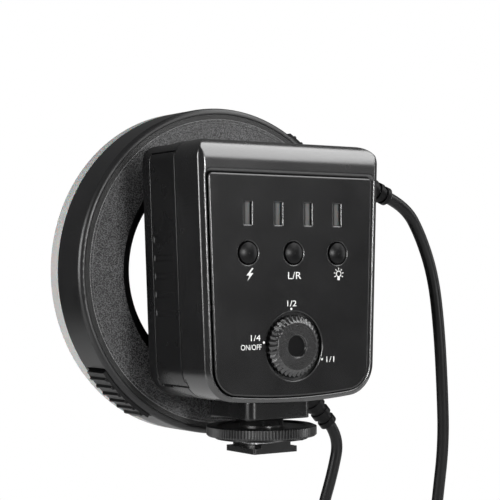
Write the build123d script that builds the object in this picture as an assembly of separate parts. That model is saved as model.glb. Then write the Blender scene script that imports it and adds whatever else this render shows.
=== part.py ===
from build123d import *
import math
import os

os.makedirs("parts", exist_ok=True)

# Axes: X right and Z up as seen from behind, Y forward to the subject.
# The origin is the centre of the shoe foot's underside.

# Shared clearances
overrun = 4.0
seat_gap = 0.1
running_gap = 0.1
plate_gap = 0.2

# Standard round cell, which sets the width of the body
cell_radius = 7.25
cell_length = 50.5

# Controller body, leaning sides and a slightly bowed bottom
body_top_z = 108.4
body_bottom_z = 18.4
body_side_room = 13.05
body_top_half_width = cell_length / 2 + body_side_room
side_lean_share = 0.036
bottom_rise = 2.6
bottom_corner_radius = 11.5
top_corner_radius = 6.5
body_rear_y = -20.0
body_front_y = 20.0
seam_y = -3.9
wall = 2.2
rear_top_radius = 7.5
front_top_radius = 5.5
low_edge_radius = 1.6
front_top_drop = 0.8
front_top_start_y = 1.5
rear_bevel_width = 1.95
rear_bevel_depth = 1.2
front_bevel_width = 2.2
front_bevel_depth = 2.2
lip_thickness = 0.8
lip_reach = 1.5
lip_root = 2.8

# Panel pocket in the rear of the body
panel_margin = 3.3
panel_top_z = 96.5
panel_bottom_z = 20.7
panel_rise = 2.1
panel_corner_radius = 9.0
panel_top_radius = 1.2
panel_thickness = 1.9
panel_gap = 0.2
pocket_depth = 2.0
pocket_floor = 2.0
pocket_bevel_width = 1.3
pocket_bevel_depth = 0.9

# Level windows and their lamps
window_count = 4
window_pitch_share = 0.329
window_pitch = window_pitch_share * body_top_half_width
window_width = 3.1
window_height = 7.75
window_middle_z = 83.3
window_recess = 1.0
lamp_gap = 0.3
lamp_height = 2.0
lamp_width = 2.4

# Buttons and their switches
button_pitch = 1.5 * window_pitch
button_z = 69.8
button_well_radius = 4.1
button_radius = 3.6
button_proud = 1.0
button_side_proud = 0.3
flange_radius = 4.9
flange_thickness = 1.0
flange_gap = 0.3
post_radius = 1.2
post_length = 2.3
switch_size = 6.2
switch_well_radius = 1.4
switch_height = 3.4
switch_bottom = 1.0

# Power dial
dial_z = 37.8
dial_well_radius = 11.9
dial_radius = 10.8
dial_top_radius = 7.3
dial_proud = 2.1
dial_ridges = 36
dial_ridge_size = 0.8
dial_dimple_radius = 3.8
dial_dimple_depth = 0.9
dial_under_gap = 0.3
shaft_radius = 3.0
shaft_hold = 1.6
shaft_fit = 0.02
pot_size = 11.0
pot_height = 4.6
pot_bottom = 0.9

# Circuit board behind the panel
board_thickness = 1.6
board_top_z = 88.5
board_bottom_z = 34.0
board_side_room = 7.3
board_half_width = body_top_half_width - board_side_room
board_corner_radius = 2.0
board_standoff = 5.4
board_post_radius = 2.2
board_post_inset = 3.6
board_screw_radius = 1.0
board_screw_head_radius = 1.9
board_screw_head = 1.2
board_screw_length = 4.6
chip_size = 7.0
chip_height = 1.4
coil_radius = 5.0
coil_height = 4.0
capacitor_radius = 3.2
capacitor_height = 6.6
plug_size = 8.0
plug_height = 4.4

# Screws that hold the two body halves together
shell_boss_radius = 3.0
shell_screw_radius = 1.2
shell_screw_head_radius = 2.2
shell_screw_head = 1.2
shell_screw_grip = 8.0
low_screw_inset = 12.3
low_screw_x = body_top_half_width - low_screw_inset
low_screw_z = 28.8
high_screw_room = 3.7
high_screw_z = 92.0
thread_pass = 0.1

# Battery door, which slides down and off its rails
door_rear_y = -3.7
door_front_y = 12.6
door_top_z = 104.3
door_low_z = 24.6
door_start_z = 8.0
door_skin = 1.1
door_thickness = 2.2
door_rail = 1.2
door_gap = 0.15
door_top_gap = 0.5

# Battery tray and cells
cell_nub_radius = 2.8
cell_nub = 1.2
cell_edge = 0.6
cell_count = 4
cell_pitch = 15.6
cell_middle_z = 64.0
cell_y = 9.6
cell_gap = 0.15
tray_side_room = 6.8
tray_left_x = tray_side_room - body_top_half_width
tray_side = 0.8
tray_end = 1.6
tray_rear = 0.8
contact_radius = 4.6
contact_thickness = 0.4
cell_end_gap = 0.3
door_contact_width = 6.0
door_contact_margin = 4.0

# Neck, shoe foot, clamp and locking wheel
neck_half_width = 13.4
neck_rear_y = -12.0
neck_front_y = 15.0
neck_bottom_z = 12.0
neck_corner_radius = 3.0
foot_width = 18.6
foot_length = 18.0
foot_thickness = 2.0
foot_corner_radius = 0.8
foot_neck_width = 12.4
rail_gap_height = 1.95
stem_radius = 7.75
clamp_size = 22.0
clamp_corner_radius = 1.6
clamp_thickness = 0.65
wheel_radius = 19.6
wheel_rise = 4.8
wheel_bevel = 1.2
wheel_rim_height = 0.9
wheel_ribs = 60
wheel_rib_size = 1.0
wheel_dish = 0.6
wheel_dish_margin = 3.4
foot_pin_radius = 0.9
foot_pin_height = 1.2
foot_pin_sunk = 0.1
foot_pin_spread = 3.6
neck_screw_x = 4.2
neck_screw_y = 2.0
neck_screw_radius = 1.5
neck_screw_head_radius = 2.5
neck_screw_head = 1.6
neck_screw_depth = 4.5

# Ring head
ring_middle_z = 64.0
ring_radius = 60.0
ring_rear_y = 23.6
rim_front_y = 40.0
diffuser_front_y = 46.7
rim_wall = 2.2
rim_edge_radius = 1.8
hole_share = 0.625
hole_radius = hole_share * ring_radius
hole_wall = 2.0
ledge_y = 28.6
seat_step = 4.9
seat_radius = hole_radius + seat_step
web_thickness = 1.6
back_plate_thickness = 1.4
diffuser_wall = 2.0
diffuser_lip = 1.4
diffuser_edge_radius = 1.4

# Dock collar on the front of the body, which goes into the ring head's seat
collar_play = 1.4
collar_radius = seat_radius - collar_play
collar_wall = 3.2
collar_side_step = 8.8
collar_half_width = body_top_half_width - collar_side_step
collar_plate = 1.6
collar_front_y = 28.3
dock_screw_x = 12.0
dock_screw_inset = 8.4
dock_screw_offset_z = collar_radius - dock_screw_inset
dock_screw_radius = 1.0
dock_screw_head_radius = 2.0
dock_screw_head = 1.2

# Lamp board of the ring head, on three posts
led_board_edge = 4.6
led_board_radius = ring_radius - led_board_edge
led_board_inner_edge = 2.7
led_board_inner_radius = hole_radius + led_board_inner_edge
led_board_thickness = 1.4
led_board_back = 1.6
ring_post_count = 3
ring_post_radius = 2.4
ring_post_inset = 3.2
ring_post_circle_radius = led_board_inner_radius + ring_post_inset
ring_post_turn = 75.0
led_count = 32
led_size = 5.0
led_height = 1.4
led_room = 0.7
led_circle_radius = ring_post_circle_radius + board_screw_head_radius + led_size / 2 + led_room

# Two quick-release latches, each a button with a plate that runs round the hole
latch_middle_turn = 42.6
latch_half_turn = 11.5
latch_seat_gap = 1.3
latch_inner_radius = seat_radius + latch_seat_gap
latch_plate_width = 4.9
latch_outer_radius = latch_inner_radius + latch_plate_width
latch_thickness = 1.4
latch_travel = 2.0
jaw_gap = 0.2
jaw_radius = collar_radius + jaw_gap
jaw_half_turn = 18.0
latch_proud = 1.3
latch_button_radius = ring_radius + latch_proud
latch_button_depth = 4.6
latch_button_root = ring_radius - latch_button_depth
latch_button_rear_y = 25.6
latch_button_front_y = 37.9
latch_slot_gap = 0.35
latch_arm_width = 12.0
spring_thickness = 0.5
spring_width = 4.0
spring_half_length = 8.0
spring_gap = 0.3

# Cable and the two strain reliefs
cable_radius = 2.25
relief_droop = 20.0
relief_z = 97.4
relief_length = 15.7
relief_stand = 1.8
relief_root_radius = 4.5
relief_tip_radius = 3.3
relief_ribs = 5
relief_groove = 0.7
relief_neck_radius = 3.4
relief_flange_radius = 4.9
relief_flange = 1.2
ring_relief_turn = 42.0
ring_relief_y = 32.0
ring_relief_length = 20.3
ring_relief_root_radius = 4.6
ring_relief_tip_radius = 3.4
ring_relief_ribs = 5
cable_exit_run = 10.0
cable_entry_run = 8.0
cable_arc_share = 0.45

# Directions that several pieces share
lean = Vector(-side_lean_share, 0, 1).normalized()
droop = math.radians(relief_droop)
droop_axis = Vector(math.cos(droop), 0, -math.sin(droop))
ring_turn = math.radians(ring_relief_turn)
ring_relief_axis = Vector(math.sin(ring_turn), 0, -math.cos(ring_turn))

# Heights and depths worked out from the values above
panel_rear_y = body_rear_y
pocket_floor_y = body_rear_y + pocket_depth
cavity_rear_y = pocket_floor_y + pocket_floor
board_rear_y = cavity_rear_y + board_standoff
board_front_y = board_rear_y + board_thickness
clamp_z = foot_thickness + rail_gap_height
wheel_z = clamp_z + clamp_thickness
tray_front_y = body_front_y - wall - plate_gap
tray_end_x = tray_left_x + cell_length + cell_end_gap + contact_thickness + tray_end
high_screw_x = tray_end_x + shell_boss_radius + high_screw_room
led_board_y = rim_front_y - led_board_back
first_latch_y = ring_rear_y + seat_gap + back_plate_thickness + plate_gap
second_latch_y = first_latch_y + latch_thickness + plate_gap


def half_width(z):
    """Half width of the body at height z."""
    return body_top_half_width - side_lean_share * (body_top_z - z)


def slab(sketch, start_y, end_y):
    """An outline drawn in X and Z, extruded from start_y to end_y."""
    plane = Plane((0, start_y, 0), x_dir=(1, 0, 0), z_dir=(0, -1, 0))
    return extrude(plane * sketch, amount=end_y - start_y, dir=(0, 1, 0))


def rod(x, z, radius, start_y, end_y):
    """A round bar along Y."""
    return slab(Pos(x, z) * Circle(radius), start_y, end_y)


def ring(outer, inner, start_y, end_y):
    """A flat ring round the ring head's axis."""
    return slab(Pos(0, ring_middle_z) * (Circle(outer) - Circle(inner)), start_y, end_y)


def turned(points, axis_plane):
    """A closed profile of (radius, length) points, turned about the plane's own Y axis."""
    profile = axis_plane * make_face(Polyline(*points, close=True))
    return revolve(profile, axis=Axis(axis_plane.origin, axis_plane.y_dir))


def along(origin, direction, side=(0, 1, 0)):
    """A plane whose own Y axis runs along direction, for turned()."""
    return Plane(origin, x_dir=side, z_dir=Vector(*side).cross(Vector(*direction)))


def leaning_outline(margin, top_z, bottom_z, rise, low_radius, high_radius):
    """Outline between the two leaning sides, with a bowed bottom and round corners."""
    corner_z = bottom_z + rise
    low = half_width(corner_z) - margin
    high = half_width(top_z) - margin
    left = Line((-low, corner_z), (-high, top_z))
    top = Line((-high, top_z), (high, top_z))
    right = Line((high, top_z), (low, corner_z))
    bottom = ThreePointArc((low, corner_z), (0, bottom_z), (-low, corner_z))
    face = make_face(Curve() + [left, top, right, bottom])
    face = fillet(face.vertices().sort_by(Axis.Y)[:2], low_radius)
    return fillet(face.vertices().sort_by(Axis.Y)[-2:], high_radius)


def body_outline():
    """The body seen from behind."""
    return leaning_outline(
        0, body_top_z, body_bottom_z, bottom_rise, bottom_corner_radius, top_corner_radius
    )


def panel_outline():
    """The control panel seen from behind."""
    return leaning_outline(
        panel_margin, panel_top_z, panel_bottom_z, panel_rise, panel_corner_radius, panel_top_radius
    )


def side_profile(inset):
    """The body seen from the side, drawn in Y and Z."""
    drop_y = front_top_start_y + front_top_drop
    face = make_face(
        Polyline(
            (body_rear_y, body_bottom_z),
            (body_rear_y, body_top_z),
            (front_top_start_y, body_top_z),
            (drop_y, body_top_z - front_top_drop),
            (body_front_y, body_top_z - front_top_drop),
            (body_front_y, body_bottom_z),
            close=True,
        )
    )
    high = face.vertices().group_by(Axis.X)[0].sort_by(Axis.Y)[-1]
    face = fillet(high, rear_top_radius)
    high = face.vertices().group_by(Axis.X)[-1].sort_by(Axis.Y)[-1]
    face = fillet(high, front_top_radius)
    face = fillet(face.vertices().group_by(Axis.Y)[0], low_edge_radius)
    if inset:
        face = offset(face, amount=-inset)
    return extrude(Plane.YZ * face, amount=body_top_half_width + overrun, both=True)


def body_block():
    """The whole outer form of the body, with bevelled rear and front edges."""
    outline = body_outline()
    rear = Plane((0, body_rear_y, 0), x_dir=(1, 0, 0), z_dir=(0, -1, 0))
    front = Plane((0, body_front_y, 0), x_dir=(1, 0, 0), z_dir=(0, -1, 0))
    rear_start = rear.offset(-rear_bevel_depth)
    front_start = front.offset(front_bevel_depth)
    block = slab(outline, body_rear_y + rear_bevel_depth, body_front_y - front_bevel_depth)
    block += loft([rear * offset(outline, amount=-rear_bevel_width), rear_start * outline])
    block += loft([front_start * outline, front * offset(outline, amount=-front_bevel_width)])
    return block & side_profile(0)


def body_cavity():
    """The space inside both halves of the body."""
    inside = slab(offset(body_outline(), amount=-wall), cavity_rear_y, body_front_y - wall)
    return inside & side_profile(wall)


def band(outer_inset, inner_inset, start_y, end_y):
    """A thin frame that follows the body's inner wall."""
    outer = slab(offset(body_outline(), amount=-outer_inset), start_y, end_y) & side_profile(outer_inset)
    inner = slab(offset(body_outline(), amount=-inner_inset), start_y, end_y) & side_profile(inner_inset)
    return outer - inner


def half_space(start_y, end_y):
    """A box wide enough to keep only what lies between two Y planes."""
    reach = 2 * body_top_z
    return Pos(0, (start_y + end_y) / 2, 0) * Box(reach, end_y - start_y, 2 * reach)


def door_prism(outer_grow, grow, top_z):
    """The door's section, with its two rails, run up along the leaning left side."""
    start = Plane((-half_width(door_start_z), 0, door_start_z), x_dir=(0, 1, 0), z_dir=lean)
    rear = door_rear_y - grow
    front = door_front_y + grow
    skin = make_face(
        Polyline(
            (rear, -door_skin - grow),
            (rear, outer_grow),
            (front, outer_grow),
            (front, -door_skin - grow),
            close=True,
        )
    )
    rails = make_face(
        Polyline(
            (rear - door_rail, -door_thickness - grow),
            (rear - door_rail, grow - door_skin),
            (front + door_rail, grow - door_skin),
            (front + door_rail, -door_thickness - grow),
            close=True,
        )
    )
    return extrude(start * (skin + rails), amount=(top_z - door_start_z) / lean.Z, dir=lean)


def door_cut():
    """What the door and its rails take out of the body."""
    return door_prism(overrun, door_gap, door_top_z + door_top_gap)


def contact_run(low, high, grow):
    """The section of the door's contact strips, run along the leaning side from low to high."""
    start = Plane((-half_width(low), 0, low), x_dir=(0, 1, 0), z_dir=lean)
    middle = Pos(cell_y, -door_thickness - contact_thickness / 2)
    section = middle * Rectangle(door_contact_width + 2 * grow, contact_thickness + 2 * grow)
    return extrude(start * section, amount=(high - low) / lean.Z, dir=lean)


def body_screw_places():
    """Places of the screws that hold the body halves, as (x, z)."""
    return [(-low_screw_x, low_screw_z), (low_screw_x, low_screw_z), (high_screw_x, high_screw_z)]


def board_post_places():
    """Places of the posts that carry the circuit board, as (x, z)."""
    x = board_half_width - board_post_inset
    low = board_bottom_z + board_post_inset
    high = board_top_z - board_post_inset
    return [(-x, low), (x, low), (-x, high), (x, high - 2 * board_post_inset)]


def window_places():
    """X of each level window."""
    start = -window_pitch * (window_count - 1) / 2
    return [start + index * window_pitch for index in range(window_count)]


def button_places():
    """X of each button."""
    return [-button_pitch, 0, button_pitch]


def relief_hole():
    """The hole through the right wall for the cable's strain relief."""
    wall_x = half_width(relief_z)
    start = (wall_x - wall - overrun, seam_y, relief_z)
    profile = Circle(relief_neck_radius + seat_gap)
    hole = extrude(Plane(start, z_dir=(1, 0, 0)) * profile, amount=wall + 2 * overrun)
    inner_x = wall_x - wall
    room = cross_bar(inner_x - overrun, inner_x, seam_y, relief_z, relief_flange_radius + plate_gap)
    return hole + room


def rear_shell():
    """Rear half of the body, with the panel pocket, posts and screw bosses."""
    shell = body_block() - body_cavity()
    shell &= half_space(body_rear_y - overrun, seam_y - seat_gap)
    outline = offset(panel_outline(), amount=panel_gap)
    shell -= slab(outline, body_rear_y - overrun, pocket_floor_y)
    rear = Plane((0, body_rear_y, 0), x_dir=(1, 0, 0), z_dir=(0, -1, 0))
    deep = rear.offset(-pocket_bevel_depth)
    shell -= loft([rear * offset(outline, amount=pocket_bevel_width), deep * outline])
    for x, z in body_screw_places():
        shell += rod(x, z, shell_boss_radius, pocket_floor_y, seam_y - seat_gap)
    for x, z in board_post_places():
        shell += rod(x, z, board_post_radius, pocket_floor_y, board_rear_y)
        shell -= rod(x, z, board_screw_radius, board_rear_y - board_screw_length, board_rear_y)
    for x, z in body_screw_places():
        shell -= rod(x, z, shell_screw_radius + thread_pass, pocket_floor_y, seam_y)
        shell -= rod(x, z, shell_screw_head_radius + thread_pass, pocket_floor_y,
                     pocket_floor_y + shell_screw_head + thread_pass)
    for x in window_places():
        hole = Pos(x, window_middle_z) * Rectangle(window_width + seat_gap, window_height + seat_gap)
        shell -= slab(hole, pocket_floor_y - overrun, cavity_rear_y)
    for x in button_places():
        shell -= rod(x, button_z, button_well_radius, pocket_floor_y - overrun, cavity_rear_y)
    shell -= rod(0, dial_z, shaft_radius + flange_gap, pocket_floor_y - overrun, cavity_rear_y)
    return shell - relief_hole() - door_cut()


def neck_screw_places():
    """Places of the two screws that hold the foot, as (x, y)."""
    return [(-neck_screw_x, neck_screw_y), (neck_screw_x, neck_screw_y)]


def upright(x, y, radius, start_z, end_z):
    """A round bar along Z."""
    return Pos(x, y, (start_z + end_z) / 2) * Cylinder(radius, end_z - start_z)


def dock_screw_places():
    """Places of the screws that hold the dock collar, as (x, z)."""
    low = ring_middle_z - dock_screw_offset_z
    high = ring_middle_z + dock_screw_offset_z
    return [(x, z) for x in (-dock_screw_x, dock_screw_x) for z in (low, high)]


def front_shell():
    """Front half of the body, open on the left for the battery door."""
    shell = body_block() - body_cavity()
    shell &= half_space(seam_y + seat_gap, body_front_y + overrun)
    start_y = seam_y + seat_gap
    lip_inner = wall + seat_gap + lip_thickness
    shell += band(wall / 2, lip_inner, start_y, start_y + lip_root)
    shell += band(wall + seat_gap, lip_inner, seam_y - lip_reach, start_y + lip_root)
    for x, z in body_screw_places():
        shell += rod(x, z, shell_boss_radius, start_y, body_front_y - wall / 2)
    for x, z in body_screw_places():
        shell -= rod(x, z, shell_screw_radius, seam_y, seam_y + shell_screw_grip + overrun)
    for x, z in dock_screw_places():
        shell -= rod(x, z, dock_screw_radius, body_front_y - wall, body_front_y + overrun)
    for x, y in neck_screw_places():
        hole = neck_screw_radius + thread_pass
        shell -= upright(x, y, hole, neck_bottom_z, body_bottom_z + wall + overrun)
    contact_room = contact_run(door_start_z, door_top_z, door_gap)
    return shell - relief_hole() - door_cut() - contact_room


def battery_door():
    """Sliding cover of the cells, with a rail on each long edge."""
    door = door_prism(0, 0, door_top_z) & body_block()
    door &= Pos(0, 0, (door_low_z + body_top_z) / 2) * Box(
        2 * body_top_z, 2 * body_top_z, body_top_z - door_low_z
    )
    return door


def control_panel():
    """Flat panel with the openings for windows, buttons and dial."""
    panel = slab(panel_outline(), panel_rear_y, panel_rear_y + panel_thickness)
    for x in window_places():
        hole = Pos(x, window_middle_z) * Rectangle(window_width + seat_gap, window_height + seat_gap)
        panel -= slab(hole, panel_rear_y - overrun, pocket_floor_y)
    for x in button_places():
        panel -= rod(x, button_z, button_well_radius, panel_rear_y - overrun, pocket_floor_y)
    return panel - rod(0, dial_z, dial_well_radius, panel_rear_y - overrun, pocket_floor_y)


def level_windows():
    """Four light bars that carry the lamps' light to the panel."""
    end_y = board_rear_y - lamp_height - lamp_gap
    bar = Rectangle(window_width, window_height)
    bars = [slab(Pos(x, window_middle_z) * bar, panel_rear_y + window_recess, end_y) for x in window_places()]
    return Compound(children=bars)


def indicator_lamps():
    """A small lamp on the board behind each level window."""
    lamp = Rectangle(lamp_width, lamp_width)
    start_y = board_rear_y - lamp_height
    return Compound(
        children=[slab(Pos(x, window_middle_z) * lamp, start_y, board_rear_y) for x in window_places()]
    )


def circuit_board():
    """Main board behind the panel."""
    width = 2 * board_half_width
    height = board_top_z - board_bottom_z
    middle = (board_top_z + board_bottom_z) / 2
    board = slab(
        Pos(0, middle) * RectangleRounded(width, height, board_corner_radius), board_rear_y, board_front_y
    )
    for x, z in board_post_places():
        board -= rod(x, z, board_screw_radius + thread_pass, board_rear_y, board_front_y)
    high = shell_boss_radius + seat_gap
    return board - rod(high_screw_x, high_screw_z, high + board_post_inset, board_rear_y, board_front_y)


def board_screws():
    """Screws that hold the board to the rear shell's posts."""
    screws = []
    for x, z in board_post_places():
        head = rod(x, z, board_screw_head_radius, board_front_y, board_front_y + board_screw_head)
        shank_end = board_front_y - board_screw_length
        screws.append(head + rod(x, z, board_screw_radius - seat_gap, shank_end, board_front_y))
    return Compound(children=screws)


def board_components():
    """Driver chip, coil, two capacitors and the cable plug on the board's front."""
    y = board_front_y
    low = board_bottom_z + plug_size
    chip = slab(Pos(0, low) * Rectangle(chip_size, chip_size), y, y + chip_height)
    coil = rod(-2 * coil_radius, low + chip_size, coil_radius, y, y + coil_height)
    first = rod(2 * coil_radius, low + chip_size, capacitor_radius, y, y + capacitor_height)
    second = rod(2 * coil_radius, low + 2 * chip_size, capacitor_radius, y, y + capacitor_height)
    plug_z = board_top_z - 2 * plug_size
    plug = slab(Pos(0, plug_z) * Rectangle(2 * plug_size, plug_size), y, y + plug_height)
    return Compound(children=[chip, coil, first, second, plug])


def control_button(x):
    """Domed push button with its retaining flange and the post that reaches into the switch."""
    flange_y = cavity_rear_y + flange_gap
    post_end = flange_y + flange_thickness + post_length
    top_y = panel_rear_y - button_proud
    side_y = panel_rear_y - button_side_proud
    rise = side_y - top_y
    sphere = (button_radius**2 + rise**2) / (2 * rise)
    half = button_radius / 2
    dome_middle = (half, top_y + sphere - math.sqrt(sphere**2 - half**2))
    dome = ThreePointArc((0, top_y), dome_middle, (button_radius, side_y))
    body = Polyline(
        (button_radius, side_y),
        (button_radius, flange_y),
        (flange_radius, flange_y),
        (flange_radius, flange_y + flange_thickness),
        (post_radius, flange_y + flange_thickness),
        (post_radius, post_end),
        (0, post_end),
        (0, top_y),
    )
    profile = make_face(Curve() + [dome, body])
    return Pos(x, 0, button_z) * revolve(profile, axis=Axis.Y)


def tact_switches():
    """Three switches on the board; each button's post runs in its switch's well."""
    switches = []
    start_y = board_rear_y - switch_height
    for x in button_places():
        case = slab(Pos(x, button_z) * Rectangle(switch_size, switch_size), start_y, board_rear_y)
        case -= rod(x, button_z, switch_well_radius, start_y - overrun, board_rear_y - switch_bottom)
        switches.append(case)
    return Compound(children=switches)


def power_dial():
    """Turning dial: a cone with ridges, a flat top and a dimple."""
    top_y = panel_rear_y - dial_proud
    rear_y = pocket_floor_y - dial_under_gap
    hold_y = panel_rear_y - dial_proud + dial_dimple_depth + shaft_hold
    bore = shaft_radius + shaft_fit
    profile = make_face(
        Polyline(
            (0, top_y + dial_dimple_depth),
            (dial_dimple_radius, top_y + dial_dimple_depth),
            (dial_dimple_radius, top_y),
            (dial_top_radius, top_y),
            (dial_radius, panel_rear_y),
            (dial_radius, rear_y),
            (bore, rear_y),
            (bore, hold_y),
            (0, hold_y),
            close=True,
        )
    )
    dial = revolve(profile, axis=Axis.Y)
    slant = Vector(dial_radius - dial_top_radius, dial_proud, 0)
    middle = ((dial_radius + dial_top_radius) / 2, panel_rear_y - dial_proud / 2, 0)
    length = slant.length + dial_ridge_size
    cutter_plane = Plane(middle, x_dir=(0, 0, 1), z_dir=slant)
    cutter = cutter_plane * Rot(0, 0, 45) * Box(dial_ridge_size, dial_ridge_size, length)
    cutters = [Rot(0, index * 360 / dial_ridges, 0) * cutter for index in range(dial_ridges)]
    return Pos(0, 0, dial_z) * (dial - cutters)


def dial_shaft():
    """Shaft that joins the dial to the potentiometer."""
    start_y = panel_rear_y - dial_proud + dial_dimple_depth + shaft_hold + seat_gap
    return rod(0, dial_z, shaft_radius, start_y, board_rear_y - pot_bottom - seat_gap)


def dial_potentiometer():
    """Potentiometer on the board, with the shaft's bearing bore."""
    start_y = board_rear_y - pot_height
    case = slab(Pos(0, dial_z) * Rectangle(pot_size, pot_size), start_y, board_rear_y)
    return case - rod(0, dial_z, shaft_radius + running_gap, start_y - overrun, board_rear_y - pot_bottom)


def shell_screws():
    """Screws under the panel that hold the two halves of the body."""
    screws = []
    head_y = pocket_floor_y + seat_gap
    for x, z in body_screw_places():
        head = rod(x, z, shell_screw_head_radius, head_y, head_y + shell_screw_head - seat_gap)
        screws.append(head + rod(x, z, shell_screw_radius - seat_gap, head_y, seam_y + shell_screw_grip))
    return Compound(children=screws)


def cell_heights():
    """Z of each cell's axis."""
    start = cell_middle_z - cell_pitch * (cell_count - 1) / 2
    return [start + index * cell_pitch for index in range(cell_count)]


def cross_bar(x_start, x_end, y, z, radius):
    """A round bar along X."""
    plane = Plane((x_start, y, z), x_dir=(0, 1, 0), z_dir=(1, 0, 0))
    return extrude(plane * Circle(radius), amount=x_end - x_start)


def battery_tray():
    """Moulded tray with a tube for each cell, open towards the door."""
    bore = cell_radius + cell_gap
    height = cell_pitch * (cell_count - 1) + 2 * (bore + tray_side)
    rear_y = cell_y - bore - tray_rear
    width = tray_end_x - tray_left_x
    depth = tray_front_y - rear_y
    tray = Pos(tray_left_x + width / 2, rear_y + depth / 2, cell_middle_z) * Box(width, depth, height)
    for z in cell_heights():
        tray -= cross_bar(tray_left_x - overrun, tray_end_x - tray_end, cell_y, z, bore)
    return tray


def battery_cells():
    """Four round cells, laid with their ends the other way about in turn."""
    cells = []
    start = tray_left_x + cell_end_gap
    for index, z in enumerate(cell_heights()):
        body_start = start + cell_nub * (index % 2)
        can = cross_bar(body_start, body_start + cell_length - cell_nub, cell_y, z, cell_radius)
        can = chamfer(can.edges().filter_by(GeomType.CIRCLE), cell_edge)
        nub_start = start if index % 2 else start + cell_length - cell_nub
        cells.append(can + cross_bar(nub_start, nub_start + cell_nub, cell_y, z, cell_nub_radius))
    return Compound(children=cells)


def battery_contacts():
    """Round contact plates at the closed end of the tray."""
    end = tray_end_x - tray_end
    plates = [cross_bar(end - contact_thickness, end, cell_y, z, contact_radius) for z in cell_heights()]
    return Compound(children=plates)


def door_contacts():
    """Two flat contact strips on the inside of the door, each across two cells."""
    strips = []
    heights = cell_heights()
    for index in range(0, cell_count, 2):
        low = heights[index] - door_contact_margin
        high = heights[index + 1] + door_contact_margin
        strips.append(contact_run(low, high, 0))
    return Compound(children=strips)


def neck_block():
    """Block between the body and the foot, cut to the body's bowed underside."""
    width = 2 * neck_half_width
    depth = neck_front_y - neck_rear_y
    height = body_bottom_z - neck_bottom_z + bottom_rise
    middle_y = (neck_front_y + neck_rear_y) / 2
    outline = Pos(0, middle_y) * RectangleRounded(width, depth, neck_corner_radius)
    block = extrude(Plane.XY.offset(neck_bottom_z) * outline, amount=height)
    block -= body_block()
    for x, y in neck_screw_places():
        block -= upright(x, y, neck_screw_radius + thread_pass, neck_bottom_z - overrun, body_top_z)
    return block.solids().sort_by(Axis.Z)[0]


def neck_screws():
    """Two screws from inside the body, through the neck and into the foot's stem."""
    seat_z = body_bottom_z + wall
    tip_z = neck_bottom_z - neck_screw_depth
    screws = []
    for x, y in neck_screw_places():
        head = upright(x, y, neck_screw_head_radius, seat_z + seat_gap, seat_z + neck_screw_head)
        shank = upright(x, y, neck_screw_radius - seat_gap, tip_z, seat_z + seat_gap)
        screws.append(head + shank)
    return Compound(children=screws)


def shoe_foot():
    """Shoe foot: the plate that slides under the rails, its neck and the round stem."""
    plate = RectangleRounded(foot_width, foot_length, foot_corner_radius)
    foot = extrude(plate, amount=foot_thickness)
    neck = Plane.XY.offset(foot_thickness) * Rectangle(foot_neck_width, foot_length)
    foot += extrude(neck, amount=rail_gap_height)
    foot += upright(0, 0, stem_radius, foot_thickness, neck_bottom_z)
    foot &= Box(2 * wheel_radius, 2 * wheel_radius, 2 * neck_bottom_z)
    for x, y in foot_pin_places():
        foot -= upright(x, y, foot_pin_radius, -overrun, foot_pin_height)
    for x, y in neck_screw_places():
        hole_bottom = neck_bottom_z - neck_screw_depth - seat_gap
        foot -= upright(x, y, neck_screw_radius, hole_bottom, neck_bottom_z + overrun)
    return foot


def foot_pin_places():
    """Places of the five contacts under the foot, as (x, y)."""
    s = foot_pin_spread
    return [(0, 0), (-s, -s), (s, -s), (-s, s), (s, s)]


def foot_contacts():
    """Contact pins, sunk a little under the foot's face."""
    pins = [
        upright(x, y, foot_pin_radius - seat_gap / 2, foot_pin_sunk, foot_pin_height)
        for x, y in foot_pin_places()
    ]
    return Compound(children=pins)


def clamp_plate():
    """Square plate that the wheel presses down on the rails."""
    plate = RectangleRounded(clamp_size, clamp_size, clamp_corner_radius) - Circle(stem_radius + running_gap)
    return extrude(Plane.XY.offset(clamp_z) * plate, amount=clamp_thickness)


def locking_wheel():
    """Knurled wheel on the stem, with bevelled rims and a dished top."""
    top_z = wheel_z + wheel_rise
    bore = stem_radius + running_gap
    low_rim_z = wheel_z + wheel_rim_height
    high_rim_z = top_z - wheel_rim_height
    rim = wheel_radius - wheel_bevel
    profile = Plane.XZ * make_face(
        Polyline(
            (bore, wheel_z),
            (rim, wheel_z),
            (wheel_radius, low_rim_z),
            (wheel_radius, high_rim_z),
            (rim, top_z),
            (wheel_radius - wheel_dish_margin, top_z),
            (wheel_radius - wheel_dish_margin - wheel_dish, top_z - wheel_dish),
            (bore, top_z - wheel_dish),
            close=True,
        )
    )
    wheel = revolve(profile, axis=Axis.Z)
    cutter = Pos(wheel_radius, 0, (wheel_z + top_z) / 2) * Rot(0, 0, 45) * Box(
        wheel_rib_size, wheel_rib_size, high_rim_z - low_rim_z
    )
    return wheel - [Rot(0, 0, index * 360 / wheel_ribs) * cutter for index in range(wheel_ribs)]


def dock_collar():
    """Plate on the body's front with two rim pieces that the ring head's seat goes over."""
    middle = Pos(0, ring_middle_z)
    keep = Rectangle(2 * collar_half_width, 2 * collar_radius)
    disc = Circle(collar_radius) & keep
    rim = (Circle(collar_radius) - Circle(collar_radius - collar_wall)) & keep
    collar = slab(middle * disc, body_front_y, body_front_y + collar_plate)
    collar += slab(middle * rim, body_front_y, collar_front_y)
    for x, z in dock_screw_places():
        collar -= rod(x, z, dock_screw_radius + thread_pass, body_front_y, body_front_y + collar_plate)
    return collar


def dock_screws():
    """Screws that hold the collar to the front shell."""
    screws = []
    head_y = body_front_y + collar_plate
    for x, z in dock_screw_places():
        head = rod(x, z, dock_screw_head_radius, head_y, head_y + dock_screw_head)
        screws.append(head + rod(x, z, dock_screw_radius - seat_gap, body_front_y - wall + seat_gap, head_y))
    return Compound(children=screws)


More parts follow.
